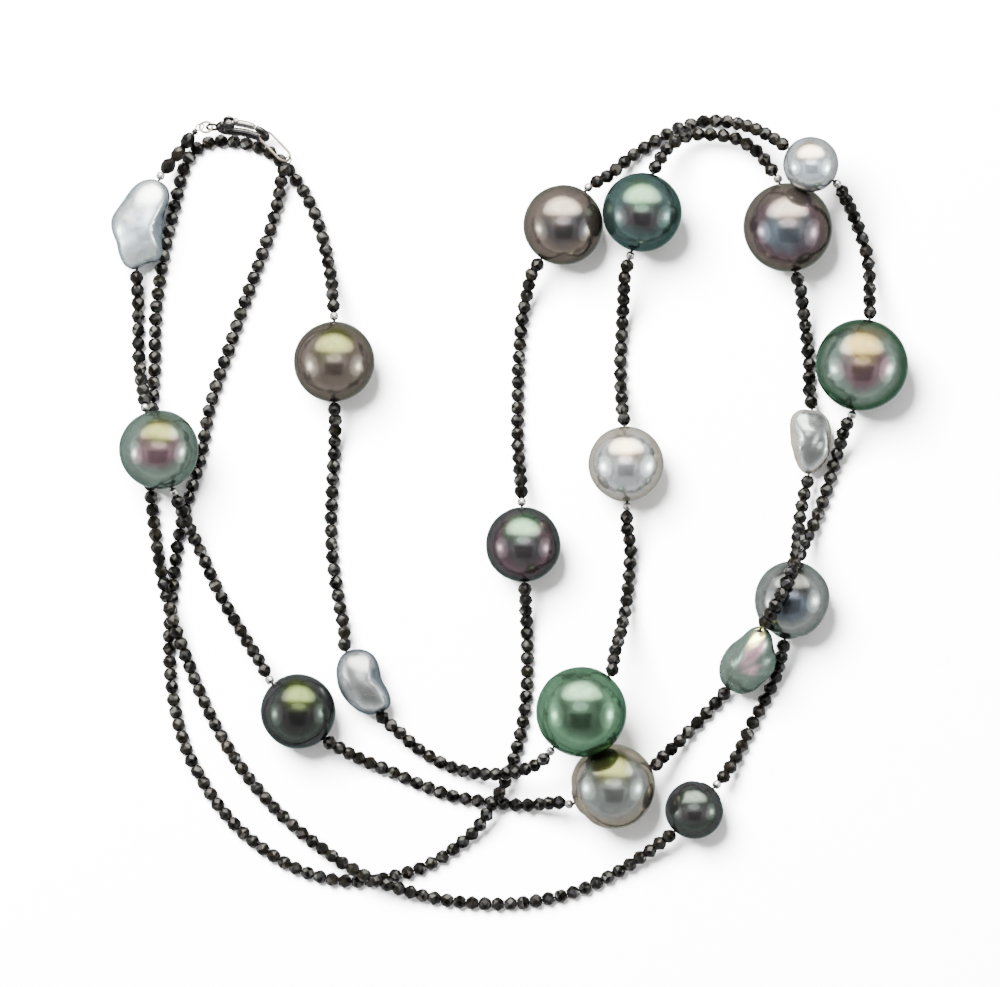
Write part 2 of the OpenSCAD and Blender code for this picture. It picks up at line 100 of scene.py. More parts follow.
# Pearls in the order of the thread: node, middle, heading and rise of the hole in degrees,
# length along the hole
PEARLS = [
    ("pearl_01_baroque", (-52.3, 41.8, 3.75), -104, -3, 13.4),
    ("pearl_02_peacock", (-50.5, 9.2, 7.7), -71, 0, 11.5),
    ("pearl_03_black_green", (-30.4, -28.7, 5.5), -47, 0, 10.9),
    ("pearl_04_olive", (15.2, -39.5, 6.15), 24, 0, 12.3),
    ("pearl_05_drop", (34.3, -20.9, 5.6), 62.5, 35.5, 12.3),
    ("pearl_06_keshi", (43.9, 10.4, 3.0), 87, 0, 9.4),
    ("pearl_07_aubergine", (40.5, 41.4, 6.45), 100, 0, 12.9),
    ("pearl_08_teal", (19.4, 43.6, 7.5), -105, 0, 11.5),
    ("pearl_09_champagne", (17.1, 7.2, 5.45), -88, 0, 10.9),
    ("pearl_10_mint", (10.6, -28.6, 10.95), -128, 0, 13.0),
    ("pearl_11_kidney", (-21.2, -24.4, 3.6), 118, 0, 9.8),
    ("pearl_12_bronze", (-25.2, 22.0, 5.85), 90, 0, 11.7),
    ("pearl_13_charcoal", (27.0, -43.0, 4.2), 48, 0, 8.4),
    ("pearl_14_blue_grey", (41.1, -12.6, 5.4), 80, 0, 11.4),
    ("pearl_15_green_gold", (51.2, 21.5, 6.65), 80, 0, 13.3),
    ("pearl_16_dove", (43.7, 50.4, 10.9), 144, 0, 8.0),
    ("pearl_17_peach", (8.0, 41.8, 5.85), -123, 0, 11.6),
    ("pearl_18_plum", (2.2, -4.5, 5.45), -88, 0, 10.9),
]

# Runs of beads in the order of the thread: node, a spacer at the start, a spacer at the
# end, and the points the thread passes between the two pearls
RUNS = [
    ["beads_clasp_to_01", 0, 1, [
        [-47.0, 53.5, 2.5], [-48.4, 51.6, 2.8]]],
    ["beads_01_to_02", 0, 1, [
        [-53.9, 33.4, 2.6], [-53.8, 30.4, 1.4], [-53.8, 26.8, 1.05], [-53.7, 23.2, 1.6],
        [-53.3, 19.6, 3.4], [-52.7, 16.8, 6.0]]],
    ["beads_02_to_03", 1, 1, [
        [-48.0, 2.2, 7.2], [-47.2, 0.2, 5.6], [-46.0, -2.6, 3.0], [-44.4, -6.2, 1.3],
        [-42.2, -11.2, 1.05], [-39.6, -15.8, 1.3], [-37.4, -19.4, 2.6],
        [-35.8, -21.8, 4.4]]],
    ["beads_03_to_04", 0, 1, [
        [-25.2, -33.6, 4.6], [-22.0, -35.4, 2.4], [-17.4, -37.4, 1.05],
        [-12.8, -39.4, 1.05], [-8.4, -41.0, 1.05], [-2.6, -42.0, 1.05],
        [2.0, -42.4, 1.6], [5.0, -42.2, 3.2], [7.4, -41.9, 5.2]]],
    ["beads_04_to_05", 0, 0, [
        [22.2, -35.6, 4.6], [24.8, -33.2, 2.4], [27.4, -30.6, 1.2],
        [30.0, -27.8, 1.05]]],
    ["beads_05_to_06", 0, 0, [
        [37.6, -14.9, 10.6], [38.7, -12.8, 12.3], [39.9, -10.4, 12.6],
        [41.0, -8.0, 11.4], [41.7, -5.8, 9.0], [42.0, -3.4, 6.5], [42.3, -0.8, 4.4],
        [42.9, 2.2, 3.2]]],
    ["beads_06_to_07", 0, 0, [
        [43.8, 17.6, 2.0], [43.8, 21.6, 1.2], [43.4, 25.6, 2.0], [42.8, 29.8, 4.0],
        [42.4, 32.6, 5.6]]],
    ["beads_07_to_08", 1, 0, [
        [38.0, 50.0, 6.2], [36.0, 52.6, 5.0], [33.0, 54.4, 3.8], [29.4, 55.0, 3.4],
        [26.0, 54.8, 3.8], [23.4, 53.2, 5.0], [21.8, 51.0, 6.6]]],
    ["beads_08_to_09", 1, 0, [
        [17.0, 35.0, 6.6], [16.8, 31.4, 4.2], [16.6, 27.4, 2.0], [16.4, 23.0, 1.05],
        [16.4, 18.6, 1.8], [16.6, 15.0, 4.0]]],
    ["beads_09_to_10", 1, 0, [
        [17.2, -1.2, 4.6], [17.8, -5.0, 2.4], [17.6, -9.0, 1.6], [17.2, -12.8, 2.6],
        [16.4, -16.8, 5.2], [15.4, -20.2, 8.6]]],
    ["beads_10_to_11", 1, 0, [
        [5.0, -35.6, 10.2], [1.8, -37.2, 7.6], [-1.8, -37.8, 4.8], [-5.4, -37.6, 2.4],
        [-9.0, -36.6, 1.2], [-12.8, -34.4, 1.2], [-15.8, -31.8, 2.2]]],
    ["beads_11_to_12", 0, 0, [
        [-23.8, -17.2, 2.6], [-24.7, -12.2, 1.1], [-25.6, -5.6, 1.05],
        [-25.7, 1.0, 1.05], [-25.4, 6.6, 1.05], [-25.2, 10.4, 2.2], [-25.1, 13.8, 4.6]]],
    ["beads_12_to_13", 1, 0, [
        [-25.4, 31.0, 4.8], [-25.8, 34.6, 2.4], [-26.6, 38.6, 1.2], [-28.2, 43.8, 1.05],
        [-30.2, 47.6, 1.05], [-32.2, 50.3, 1.05], [-34.2, 52.2, 1.05],
        [-37.4, 53.6, 1.05], [-40.6, 54.1, 1.05], [-43.4, 54.0, 1.05],
        [-45.4, 53.0, 1.05], [-46.8, 51.0, 1.05], [-47.8, 47.8, 1.05],
        [-48.6, 44.2, 1.05], [-49.4, 40.8, 1.05],
        [-50.2, 36.8, 1.05], [-50.9, 32.4, 1.05], [-51.3, 27.4, 1.05],
        [-51.4, 22.0, 1.05], [-51.6, 17.2, 1.05], [-52.1, 12.2, 1.05],
        [-52.2, 7.0, 1.05], [-51.9, 2.4, 1.05], [-51.4, -2.2, 1.1],
        [-50.8, -6.4, 1.9], [-49.9, -10.8, 3.1], [-49.0, -14.4, 3.3],
        [-47.9, -17.8, 2.5], [-46.4, -22.0, 1.2], [-44.0, -27.8, 1.05],
        [-40.9, -33.8, 1.05], [-37.0, -39.4, 1.05], [-32.4, -44.4, 1.05],
        [-27.2, -48.6, 1.6], [-23.0, -51.4, 3.0], [-19.4, -53.2, 3.4],
        [-15.6, -54.6, 2.4], [-11.4, -55.8, 1.2], [-6.2, -56.6, 1.05],
        [-0.6, -56.8, 1.05], [5.0, -56.2, 1.05], [10.4, -54.8, 1.05],
        [15.4, -52.4, 1.3], [19.8, -49.6, 2.4], [22.6, -47.4, 3.6]]],
    ["beads_13_to_14", 1, 0, [
        [31.6, -37.8, 3.0], [33.6, -34.6, 1.3], [35.5, -30.6, 1.05],
        [37.4, -27.0, 1.05], [38.8, -24.0, 1.8], [39.6, -21.2, 3.7]]],
    ["beads_14_to_15", 0, 1, [
        [42.6, -5.2, 4.8], [43.6, -3.2, 3.0], [44.8, -0.8, 1.6], [46.0, 2.4, 1.05],
        [47.2, 6.4, 1.4], [48.2, 10.0, 3.2], [49.0, 12.8, 5.4]]],
    ["beads_15_to_16", 0, 1, [
        [52.4, 31.2, 5.4], [52.4, 35.0, 3.8], [51.8, 38.8, 3.4], [50.6, 42.0, 4.8],
        [49.0, 45.2, 8.0]]],
    ["beads_16_to_17", 0, 1, [
        [38.4, 54.2, 9.0], [35.6, 55.8, 6.4], [32.4, 56.8, 3.4], [28.6, 57.0, 1.4],
        [24.6, 55.9, 1.05], [21.2, 54.0, 1.05], [17.8, 51.8, 1.8], [14.8, 49.2, 3.8]]],
    ["beads_17_to_18", 0, 1, [
        [3.5, 34.8, 4.8], [2.7, 31.6, 2.6], [2.0, 28.0, 1.3], [1.6, 23.0, 1.05],
        [1.4, 16.4, 1.05], [1.4, 10.6, 1.3], [1.7, 6.4, 2.8], [1.9, 3.6, 4.4]]],
    ["beads_18_to_clasp", 0, 0, [
        [2.5, -12.4, 4.2], [2.7, -15.8, 2.0], [2.8, -20.6, 1.05], [2.7, -25.6, 1.05],
        [2.1, -30.6, 1.05], [0.9, -35.4, 1.4], [-0.6, -39.4, 2.8], [-2.4, -42.4, 3.2],
        [-4.2, -45.4, 2.2], [-7.4, -48.4, 1.1], [-12.0, -51.3, 1.05],
        [-16.8, -52.8, 1.05], [-20.8, -53.5, 1.05], [-25.2, -53.3, 1.05],
        [-30.2, -51.9, 1.05], [-35.6, -48.8, 1.05], [-40.2, -44.8, 1.05],
        [-44.0, -39.6, 1.05], [-46.8, -34.2, 1.05], [-48.4, -28.6, 1.05],
        [-49.1, -23.4, 1.05], [-49.3, -18.4, 1.05], [-49.0, -13.4, 1.05],
        [-48.6, -9.0, 1.05], [-48.0, -4.0, 1.05], [-47.0, 0.4, 1.05],
        [-45.7, 4.6, 1.05], [-44.6, 8.6, 1.05], [-43.8, 13.6, 1.05],
        [-42.4, 18.8, 1.05], [-40.6, 24.0, 1.05], [-38.8, 29.4, 1.05],
        [-36.9, 34.6, 1.05], [-35.0, 40.0, 1.05], [-33.9, 43.6, 1.05],
        [-33.3, 46.2, 1.5], [-33.0, 48.2, 2.5]]]
]


def heading(azimuth, rise):
    a = math.radians(azimuth)
    r = math.radians(rise)
    return Vector((math.cos(r) * math.cos(a), math.cos(r) * math.sin(a), math.sin(r)))


def pearl_face(i, side):
    """The point where the thread enters (side -1) or leaves (side 1) pearl i."""
    _, middle, azimuth, rise, length = PEARLS[i]
    return Vector(middle) + heading(azimuth, rise) * side * length / 2


def tangent(points, i, first, last):
    if i == 0:
        return first
    if i == len(points) - 1:
        return last
    back = points[i] - points[i - 1]
    ahead = points[i + 1] - points[i]
    ratio = ahead.length / back.length
    return (back * ratio + ahead / ratio).normalized()


def between(p, q, tp, tq, u):
    h = (q - p).length
    point = p * (1 + u * u * (2 * u - 3)) + q * (u * u * (3 - 2 * u))
    point += tp * h * (u * (1 - u) * (1 - u)) + tq * h * (u * u * (u - 1))
    point.z = max(point.z, LOWEST_Z)
    return point


def run_curve(i, step):
    """Run i's smooth curve, from its first pearl's face to its last pearl's face."""
    count = len(PEARLS)
    start = LEFT_END if i == 0 else pearl_face(i - 1, 1)
    end = RIGHT_END if i == count else pearl_face(i, -1)
    first = LEFT_DIR if i == 0 else heading(*PEARLS[i - 1][2:4])
    last = RIGHT_DIR if i == count else heading(*PEARLS[i][2:4])
    points = [start] + [Vector(p) for p in RUNS[i][3]] + [end]
    curve = []
    for k in range(len(points) - 1):
        tp = tangent(points, k, first, last)
        tq = tangent(points, k + 1, first, last)
        pieces = math.ceil((points[k + 1] - points[k]).length / step)
        curve += [between(points[k], points[k + 1], tp, tq, n / pieces) for n in range(pieces)]
    return curve + [end]


class Track:
    """A run's curve measured along its length."""

    def __init__(self, i):
        self.points = run_curve(i, TRACK_STEP)
        self.marks = [0.0]
        for p, q in zip(self.points, self.points[1:]):
            self.marks.append(self.marks[-1] + (q - p).length)
        self.length = self.marks[-1]

    def at(self, s):
        s = min(max(s, 0.0), self.length)
        k = next(k for k in range(1, len(self.marks)) if self.marks[k] >= s)
        low, high = self.marks[k - 1], self.marks[k]
        return self.points[k - 1].lerp(self.points[k], (s - low) / (high - low))

    def place(self, s):
        """Place and direction at distance s."""
        return self.at(s), (self.at(s + SIGHT) - self.at(s - SIGHT)).normalized()


TRACKS = [Track(i) for i in range(len(RUNS))]


def end_room(has_spacer):
    return SPACER_LEN + 2 * SPACER_GAP if has_spacer else PEARL_GAP


def bead_places(i):
    start = end_room(RUNS[i][1])
    room = TRACKS[i].length - start - end_room(RUNS[i][2])
    count = math.floor(room / BEAD_PITCH + SQUEEZE)
    return [TRACKS[i].place(start + room * (k + 0.5) / count) for k in range(count)], room / count


def spacer_places(i):
    inset = SPACER_GAP + SPACER_LEN / 2
    places = [TRACKS[i].place(inset)] if RUNS[i][1] else []
    if RUNS[i][2]:
        places.append(TRACKS[i].place(TRACKS[i].length - inset))
    return places


def along(direction):
    """Rotation that takes local Z to the direction, with local Y level."""
    level = UP.cross(direction).normalized()
    down = level.cross(direction)
    return Matrix((down, level, direction)).transposed()


# ---- building meshes ----


class Build:
    """Points and faces gathered in millimetres and made into one object in metres."""

    def __init__(self):
        self.points = []
        self.faces = []
        self.tones = []

    def add(self, points, faces, tone=0.5):
        start = len(self.points)
        self.points += points
        self.faces += [tuple(start + k for k in f) for f in faces]
        self.tones += tone if isinstance(tone, list) else [tone] * len(faces)

    def tube(self, path, radius, sides, closed=False):
        """A tube through the points; radius is one number or one for each point."""
        count = len(path)
        side = None
        rings = []
        for i in range(count):
            ahead = path[(i + 1) % count] if closed or i + 1 < count else path[i]
            back = path[i - 1] if closed or i > 0 else path[i]
            way = (ahead - back).normalized()
            if side is None:
                side = way.cross(UP if abs(way.z) < 0.9 else Vector((1, 0, 0)))
            side = (side - way * side.dot(way)).normalized()
            other = way.cross(side)
            r = radius if isinstance(radius, (int, float)) else radius[i]
            ring = []
            for k in range(sides):
                a = 2 * math.pi * k / sides
                ring.append(path[i] + (side * math.cos(a) + other * math.sin(a)) * r)
            rings.append(ring)
        points = [p for ring in rings for p in ring]
        faces = []
        for i in range(count if closed else count - 1):
            a, b = i * sides, (i + 1) % count * sides
            faces += [
                (a + k, a + (k + 1) % sides, b + (k + 1) % sides, b + k) for k in range(sides)
            ]
        if not closed:
            faces.append(tuple(range(sides - 1, -1, -1)))
            faces.append(tuple((count - 1) * sides + k for k in range(sides)))
        self.add(points, faces)

    def lathe(self, profile, sides, place, turn):
        """Profile of (radius, height) points turned about Z, then turned and moved."""
        rings = []
        for radius, height in profile:
            ring = []
            for k in range(sides):
                a = 2 * math.pi * k / sides
                local = Vector((radius * math.cos(a), radius * math.sin(a), height))
                ring.append(place + turn @ local)
            rings.append(ring)
        faces = []
        for i in range(len(profile)):
            a, b = i * sides, (i + 1) % len(profile) * sides
            faces += [
                (a + k, a + (k + 1) % sides, b + (k + 1) % sides, b + k) for k in range(sides)
            ]
        self.add([p for ring in rings for p in ring], faces)

    def make(self, name, body, material, nodes=(), smooth=True):
        mesh = bpy.data.meshes.new(name)
        mesh.from_pydata([tuple(p * MM) for p in self.points], [], self.faces)
        tone = mesh.attributes.new("tone", "FLOAT", "FACE")
        tone.data.foreach_set("value", self.tones)
        mesh.polygons.foreach_set("use_smooth", [smooth] * len(self.faces))
        mesh.materials.append(material)
        mesh.validate()
        piece = bpy.data.objects.new(name, mesh)
        bpy.context.scene.collection.objects.link(piece)
        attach(piece, body)
        if nodes:
            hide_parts(*nodes)
        return piece


# ---- materials ----


class Shader:
    """A new material with its Principled shader, and short ways to add nodes."""

    def __init__(self, name, **inputs):
        self.material = bpy.data.materials.new(name)
        self.material.use_nodes = True
        self.tree = self.material.node_tree
        self.surface = self.tree.nodes["Principled BSDF"]
        for key, value in inputs.items():
            self.surface.inputs[key.replace("_", " ")].default_value = value

    def node(self, kind, **settings):
        made = self.tree.nodes.new("ShaderNode" + kind)
        for key, value in settings.items():
            setattr(made, key, value)
        return made

    def link(self, source, target):
        self.tree.links.new(source, target)

    def to(self, key, source):
        self.link(source, self.surface.inputs[key])

    def place(self):
        return self.node("TexCoord").outputs["Object"]

    def noise(self, scale, detail=3.0, rough=0.5, distortion=0.0, vector=None):
        made = self.node("TexNoise")
        self.link(vector or self.place(), made.inputs["Vector"])
        made.inputs["Scale"].default_value = scale
        made.inputs["Detail"].default_value = detail
        made.inputs["Roughness"].default_value = rough
        made.inputs["Distortion"].default_value = distortion
        return made.outputs["Fac"]

    def ramp(self, source, stops, smooth=True):
        made = self.node("ValToRGB")
        made.color_ramp.interpolation = "EASE" if smooth else "LINEAR"
        while len(made.color_ramp.elements) < len(stops):
            made.color_ramp.elements.new(0.5)
        for element, (where, colour) in zip(made.color_ramp.elements, stops):
            element.position = where
            element.color = (*colour, 1.0) if len(colour) == 3 else colour
        self.link(source, made.inputs["Fac"])
        return made.outputs["Color"]

    def scaled(self, source, low, high):
        made = self.node("MapRange")
        self.link(source, made.inputs["Value"])
        made.inputs["To Min"].default_value = low
        made.inputs["To Max"].default_value = high
        return made.outputs["Result"]

    def math(self, operation, a, b):
        made = self.node("Math", operation=operation)
        for socket, value in zip(made.inputs, (a, b)):
            if isinstance(value, (int, float)):
                socket.default_value = value
            else:
                self.link(value, socket)
        return made.outputs["Value"]

    def mix(self, amount, a, b, blend="MIX"):
        made = self.node("Mix", data_type="RGBA", blend_type=blend)
        for key, value in (("Factor_Float", amount), ("A_Color", a), ("B_Color", b)):
            socket = next(s for s in made.inputs if s.identifier == key)
            if isinstance(value, (int, float)):
                socket.default_value = value
            elif isinstance(value, tuple):
                socket.default_value = (*value, 1.0)
            else:
                self.link(value, socket)
        return next(s for s in made.outputs if s.identifier == "Result_Color")

    def bump(self, height, strength, distance):
        made = self.node("Bump")
        made.inputs["Strength"].default_value = strength
        made.inputs["Distance"].default_value = distance
        self.link(height, made.inputs["Height"])
        self.to("Normal", made.outputs["Normal"])


def tint(code):
    """A linear colour from an sRGB code such as #8899aa."""
    parts = [int(code[i : i + 2], 16) / 255 for i in (1, 3, 5)]
    return tuple(v / 12.92 if v <= 0.04045 else ((v + 0.055) / 1.055) ** 2.4 for v in parts)


# The way the skin faces in the middle of its painted highlight tint, where the soft box shows
# reflected, with the drift's mean added
PAINTED_HIGHLIGHT_AT = (0.4, 0.88, 1.05)


def nacre(name, colours, edge, seed, soft):
    """Pearl skin. Its body colour lies in soft bands by how far the skin faces up, from the colour
    of its flanks through a ring to its heart; these bands are also painted sheen, the overtones as
    seen from straight above. A painted highlight tint lies on the side towards +Y, where the soft
    box shows reflected. Growth streaks and fine pits break them up. Soft ones are less glossy."""
    flank_colour_and_sheen, ring, heart_colour_and_sheen, painted_highlight_tint = (tint(code) for code in colours)
    shader = Shader(
        name,
        Metallic=0.92 if soft else 0.95,
        IOR=1.5,
        Specular_IOR_Level=0.25,
        Specular_Tint=(*edge, 1.0),
    )
    offset = shader.node("VectorMath", operation="ADD")
    shader.link(shader.place(), offset.inputs[0])
    offset.inputs[1].default_value = (seed * 0.37, seed * 0.11, seed * 0.23)
    where = offset.outputs["Vector"]
    clouds = shader.node("TexNoise")
    shader.link(where, clouds.inputs["Vector"])
    clouds.inputs["Scale"].default_value = 190.0
    clouds.inputs["Detail"].default_value = 2.0
    drift = shader.node("VectorMath", operation="MULTIPLY_ADD")
    shader.link(clouds.outputs["Color"], drift.inputs[0])
    drift.inputs[1].default_value = (0.8, 0.8, 0.4)
    shader.link(shader.node("TexCoord").outputs["Normal"], drift.inputs[2])
    axes = shader.node("SeparateXYZ")
    shader.link(drift.outputs["Vector"], axes.inputs[0])
    # Painted sheen: the bands below follow how far the skin faces up. They give the pearl's body
    # colour together with the overtone sheen seen from straight above.
    height = shader.math("SUBTRACT", axes.outputs["Z"], 0.2)
    colour = shader.ramp(height, [(0.42, flank_colour_and_sheen), (0.76, ring), (0.95, heart_colour_and_sheen)])
    # Painted highlight: a tint laid on the skin facing up and towards +Y, where the soft box shows
    # reflected.
    towards = shader.node("VectorMath", operation="DISTANCE")
    shader.link(drift.outputs["Vector"], towards.inputs[0])
    towards.inputs[1].default_value = PAINTED_HIGHLIGHT_AT
    painted_highlight_share = shader.ramp(towards.outputs["Value"], [(0.26, (1, 1, 1)), (0.68, (0, 0, 0))])
    colour = shader.mix(painted_highlight_share, colour, painted_highlight_tint)
    streaks = shader.noise(420.0, 4.0, 0.55, 1.2, where)
    colour = shader.mix(
        0.5,
        colour,
        shader.ramp(streaks, [(0.3, (0.62, 0.62, 0.62)), (0.62, (1.0, 1.0, 1.0))]),
        "MULTIPLY",
    )
    shader.to("Base Color", colour)
    shader.to("Roughness", shader.scaled(streaks, 0.22 if soft else 0.15, 0.3 if soft else 0.21))
    pits = shader.ramp(
        shader.noise(2600.0, 2.0, 0.6, 0.0, where), [(0.26, (0, 0, 0)), (0.36, (1, 1, 1))]
    )
    skin = shader.math("ADD", shader.scaled(streaks, 0.0, 0.6), shader.scaled(pits, 0.0, 0.25))
    shader.bump(skin, 0.15, 0.05 * MM)
    return shader.material


def faceted_stone():
    """Near-black stone, its facets a little different in tone and polish."""
    shader = Shader("black_stone", IOR=1.5, Specular_IOR_Level=0.16)
    tone = shader.node("Attribute", attribute_name="tone").outputs["Fac"]
    colour = shader.ramp(
        tone,
        [
            (0.0, (0.0002, 0.0002, 0.0002)),
            (0.45, (0.0006, 0.0005, 0.0004)),
            (0.7, (0.0024, 0.0019, 0.0011)),
            (0.85, (0.0048, 0.0041, 0.0030)),
            (1.0, (0.012, 0.011, 0.010)),
        ],
    )
    clouds = shader.noise(900.0, 3.0)
    colour = shader.mix(shader.scaled(clouds, 0.0, 0.5), colour, (0.0004, 0.0004, 0.0003))
    shader.to("Base Color", colour)
    shader.to("Roughness", shader.scaled(tone, 0.12, 0.06))
    shader.bump(shader.noise(5200.0, 3.0), 0.12, 0.02 * MM)
    return shader.material


def metal(name, colour, dull, rough):
    """Polished white metal with faint tarnish and fine rubbing marks."""
    shader = Shader(name, Metallic=1.0)
    marks = shader.noise(1500.0, 4.0, 0.6, 0.8)
    shader.to("Base Color", shader.mix(shader.scaled(marks, 0.0, 0.9), colour, dull))
    shader.to("Roughness", shader.scaled(marks, rough * 0.7, rough * 1.5))
    shader.bump(shader.noise(4200.0, 3.0), 0.15, 0.02 * MM)
    return shader.material


def twisted_thread():
    """Waxed dark thread with the lay of its plies."""
    shader = Shader("thread", Roughness=0.6, Specular_IOR_Level=0.2)
    wave = shader.node("TexWave", wave_type="BANDS", bands_direction="DIAGONAL")
    shader.link(shader.place(), wave.inputs["Vector"])
    wave.inputs["Scale"].default_value = 2200.0
    wave.inputs["Distortion"].default_value = 1.5
    shader.to(
        "Base Color",
        shader.ramp(
            wave.outputs["Fac"],
            [(0.0, (0.001, 0.001, 0.0008)), (1.0, (0.006, 0.005, 0.0045))],
        ),
    )
    shader.bump(wave.outputs["Fac"], 0.5, 0.03 * MM)
    return shader.material


STONE = faceted_stone()
SILVER = metal("white_metal", (0.36, 0.35, 0.34), (0.14, 0.135, 0.13), 0.26)
# The claw and lever are one metal in two tones. The claw's near-black is partly the clasp's own dark
# tone and partly painted shade, and the lever's paler copy paints the silver highlight band along
# it.
CLASP_METAL_PART_PAINTED_SHADE = metal("clasp_metal", (0.055, 0.054, 0.054), (0.012, 0.012, 0.012), 0.22)
LEVER_METAL_PAINTED_HIGHLIGHT = metal("lever_metal_painted_highlight", (0.24, 0.235, 0.225), (0.07, 0.07, 0.068), 0.26)
GILT = metal("pale_gilt", (0.20, 0.17, 0.145), (0.09, 0.075, 0.065), 0.28)
THREAD = twisted_thread()

# ---- thread ----


def thread_path():
    points = []
    for i in range(len(RUNS)):
        points += run_curve(i, THREAD_STEP)
    return points


def make_thread():
    path = thread_path()
    build = Build()
    build.tube(path, THREAD_D / 2, 8)
    piece = build.make("thread_strand", "strand", THREAD, ["thread"])


make_thread()

# ---- beads ----

BEAD_KINDS = 12
BEAD_SIDES = 7
# Across the corners, so that the flats come to the CAD's diameter
CUT_D = 2.2
# The sunk hole's rim and depth, as shares of a bead
RIM_WIDTH = 0.07
HOLE_DEPTH = 0.18
BRIGHT_FACET_CHANCE = 0.05


def cut_bead(rng):
    """One hand-cut bead of unit diameter and unit length: flat triangular facets between
    rings of corners, and a small sunk hole at each end."""
    mesh = bmesh.new()
    rings = ((0.5, 0.5), (0.84, 0.27), (1.0, 0.0), (0.84, -0.27), (0.5, -0.5))
    for row, (radius, height) in enumerate(rings):
        turn = row * math.pi / BEAD_SIDES + rng.uniform(-0.08, 0.08)
        for k in range(BEAD_SIDES):
            a = 2 * math.pi * k / BEAD_SIDES + turn + rng.uniform(-0.09, 0.09)
            flat = abs(height) > 0.4
            r = radius * 0.5 * (1.0 if flat else rng.uniform(0.95, 1.03))
            z = height if flat else height + rng.uniform(-0.035, 0.035)
            mesh.verts.new((r * math.cos(a), r * math.sin(a), z))
    bmesh.ops.convex_hull(mesh, input=mesh.verts)
    bmesh.ops.dissolve_limit(
        mesh, angle_limit=math.radians(4), verts=mesh.verts, edges=mesh.edges
    )
    ends = [f for f in mesh.faces if abs(f.normal.z) > 0.98 and abs(f.calc_center_median().z) > 0.4]
    for face in ends:
        bmesh.ops.inset_individual(mesh, faces=[face], thickness=RIM_WIDTH)
        sunk = bmesh.ops.extrude_discrete_faces(mesh, faces=[face])["faces"][0]
        push = -HOLE_DEPTH if sunk.calc_center_median().z > 0 else HOLE_DEPTH
        bmesh.ops.translate(mesh, verts=sunk.verts, vec=(0, 0, push))
    mesh.verts.index_update()
    points = [v.co.copy() for v in mesh.verts]
    faces = [tuple(v.index for v in f.verts) for f in mesh.faces]
    mesh.free()
    return points, faces


def facet_tones(rng, count):
    """A tone for each facet: mostly dark, some brown or grey, now and then bright."""
    base = rng.uniform(0.1, 0.55)
    tones = []
    for _ in range(count):
        tone = base + rng.uniform(-0.15, 0.3)
        if rng.random() < BRIGHT_FACET_CHANCE:
            tone = 1.0
        tones.append(min(max(tone, 0.0), 1.0))
    return tones


def make_beads():
    rng = random.Random(7)
    kinds = [cut_bead(rng) for _ in range(BEAD_KINDS)]
    for i, run in enumerate(RUNS):
        build = Build()
        places, pitch = bead_places(i)
        for point, way in places:
            shape, faces = kinds[rng.randrange(BEAD_KINDS)]
            lean = Matrix.Rotation(rng.uniform(-0.06, 0.06), 3, "X")
            turn = along(way) @ lean @ Matrix.Rotation(rng.uniform(0, 6.28), 3, "Z")
            wide = CUT_D * rng.uniform(0.97, 1.0)
            long = pitch * 0.97
            size = Vector((wide, wide, long))
            points = [point + turn @ (p * size) for p in shape]
            build.add(points, faces, facet_tones(rng, len(faces)))
        build.make(run[0] + "_cut", "strand", STONE, [run[0]], smooth=False)


make_beads()


def make_spacers():
    """Small turned metal beads with a soft waist groove and a rolled hole at each end."""
    build = Build()
    r = SPACER_D / 2
    h = SPACER_LEN / 2
    hole = 0.22
    half = [
        (hole, h * 0.6), (hole, h), (r * 0.62, h), (r * 0.9, h * 0.66), (r, h * 0.3),
        (r * 0.95, 0.0),
    ]
    profile = half + [(radius, -height) for radius, height in half[-2::-1]]
    for i in range(len(RUNS)):
        for point, way in spacer_places(i):
            build.lathe(profile, 28, point, along(way))
    build.make("spacer_beads_turned", "strand", SILVER, ["spacer_beads"])


make_spacers()

# ---- pearls ----

ROWS = 72
COLUMNS = 96
SEED_STEP = 3.7
LIP_DEPTH = 0.35
# Steps round an outline, and how many of them its corners are eased over each way
OUTLINE_STEPS = 180
EASE_SPREAD = 4
EASE_REACH = 9


def polar_outline(points, middle, way, reach):
    """Distance from the middle to the outline at even turns, eased over a few degrees;
    turn 0 lies along the hole."""
    ahead = Vector((way.x, way.y)).normalized()
    left = Vector((-ahead.y, ahead.x))
    corners = []
    for point in points:
        offset = Vector(point) - Vector(middle[:2])
        u, v = offset.dot(ahead) * reach, offset.dot(left)
        corners.append((math.atan2(v, u) % (2 * math.pi), math.hypot(u, v)))
    corners.sort()
    radii = []
    for step in range(OUTLINE_STEPS):
        a = 2 * math.pi * step / OUTLINE_STEPS
        k = next((k for k in range(len(corners)) if corners[k][0] >= a), 0)
        (a0, r0), (a1, r1) = corners[k - 1], corners[k]
        share = ((a - a0) % (2 * math.pi)) / ((a1 - a0) % (2 * math.pi))
        radii.append(r0 + (r1 - r0) * share)
    near = range(-EASE_REACH, EASE_REACH + 1)
    weights = [(k, math.exp(-((k / EASE_SPREAD) ** 2))) for k in near]
    total = sum(w for _, w in weights)
    return [
        sum(radii[(i + k) % OUTLINE_STEPS] * w for k, w in weights) / total
        for i in range(OUTLINE_STEPS)
    ]


def outline_radius(radii, turn):
    """Distance to the outline at a turn, between the two nearest steps."""
    place = turn % (2 * math.pi) / (2 * math.pi) * OUTLINE_STEPS
    k = int(place) % OUTLINE_STEPS
    return radii[k] + (radii[(k + 1) % OUTLINE_STEPS] - radii[k]) * (place - int(place))


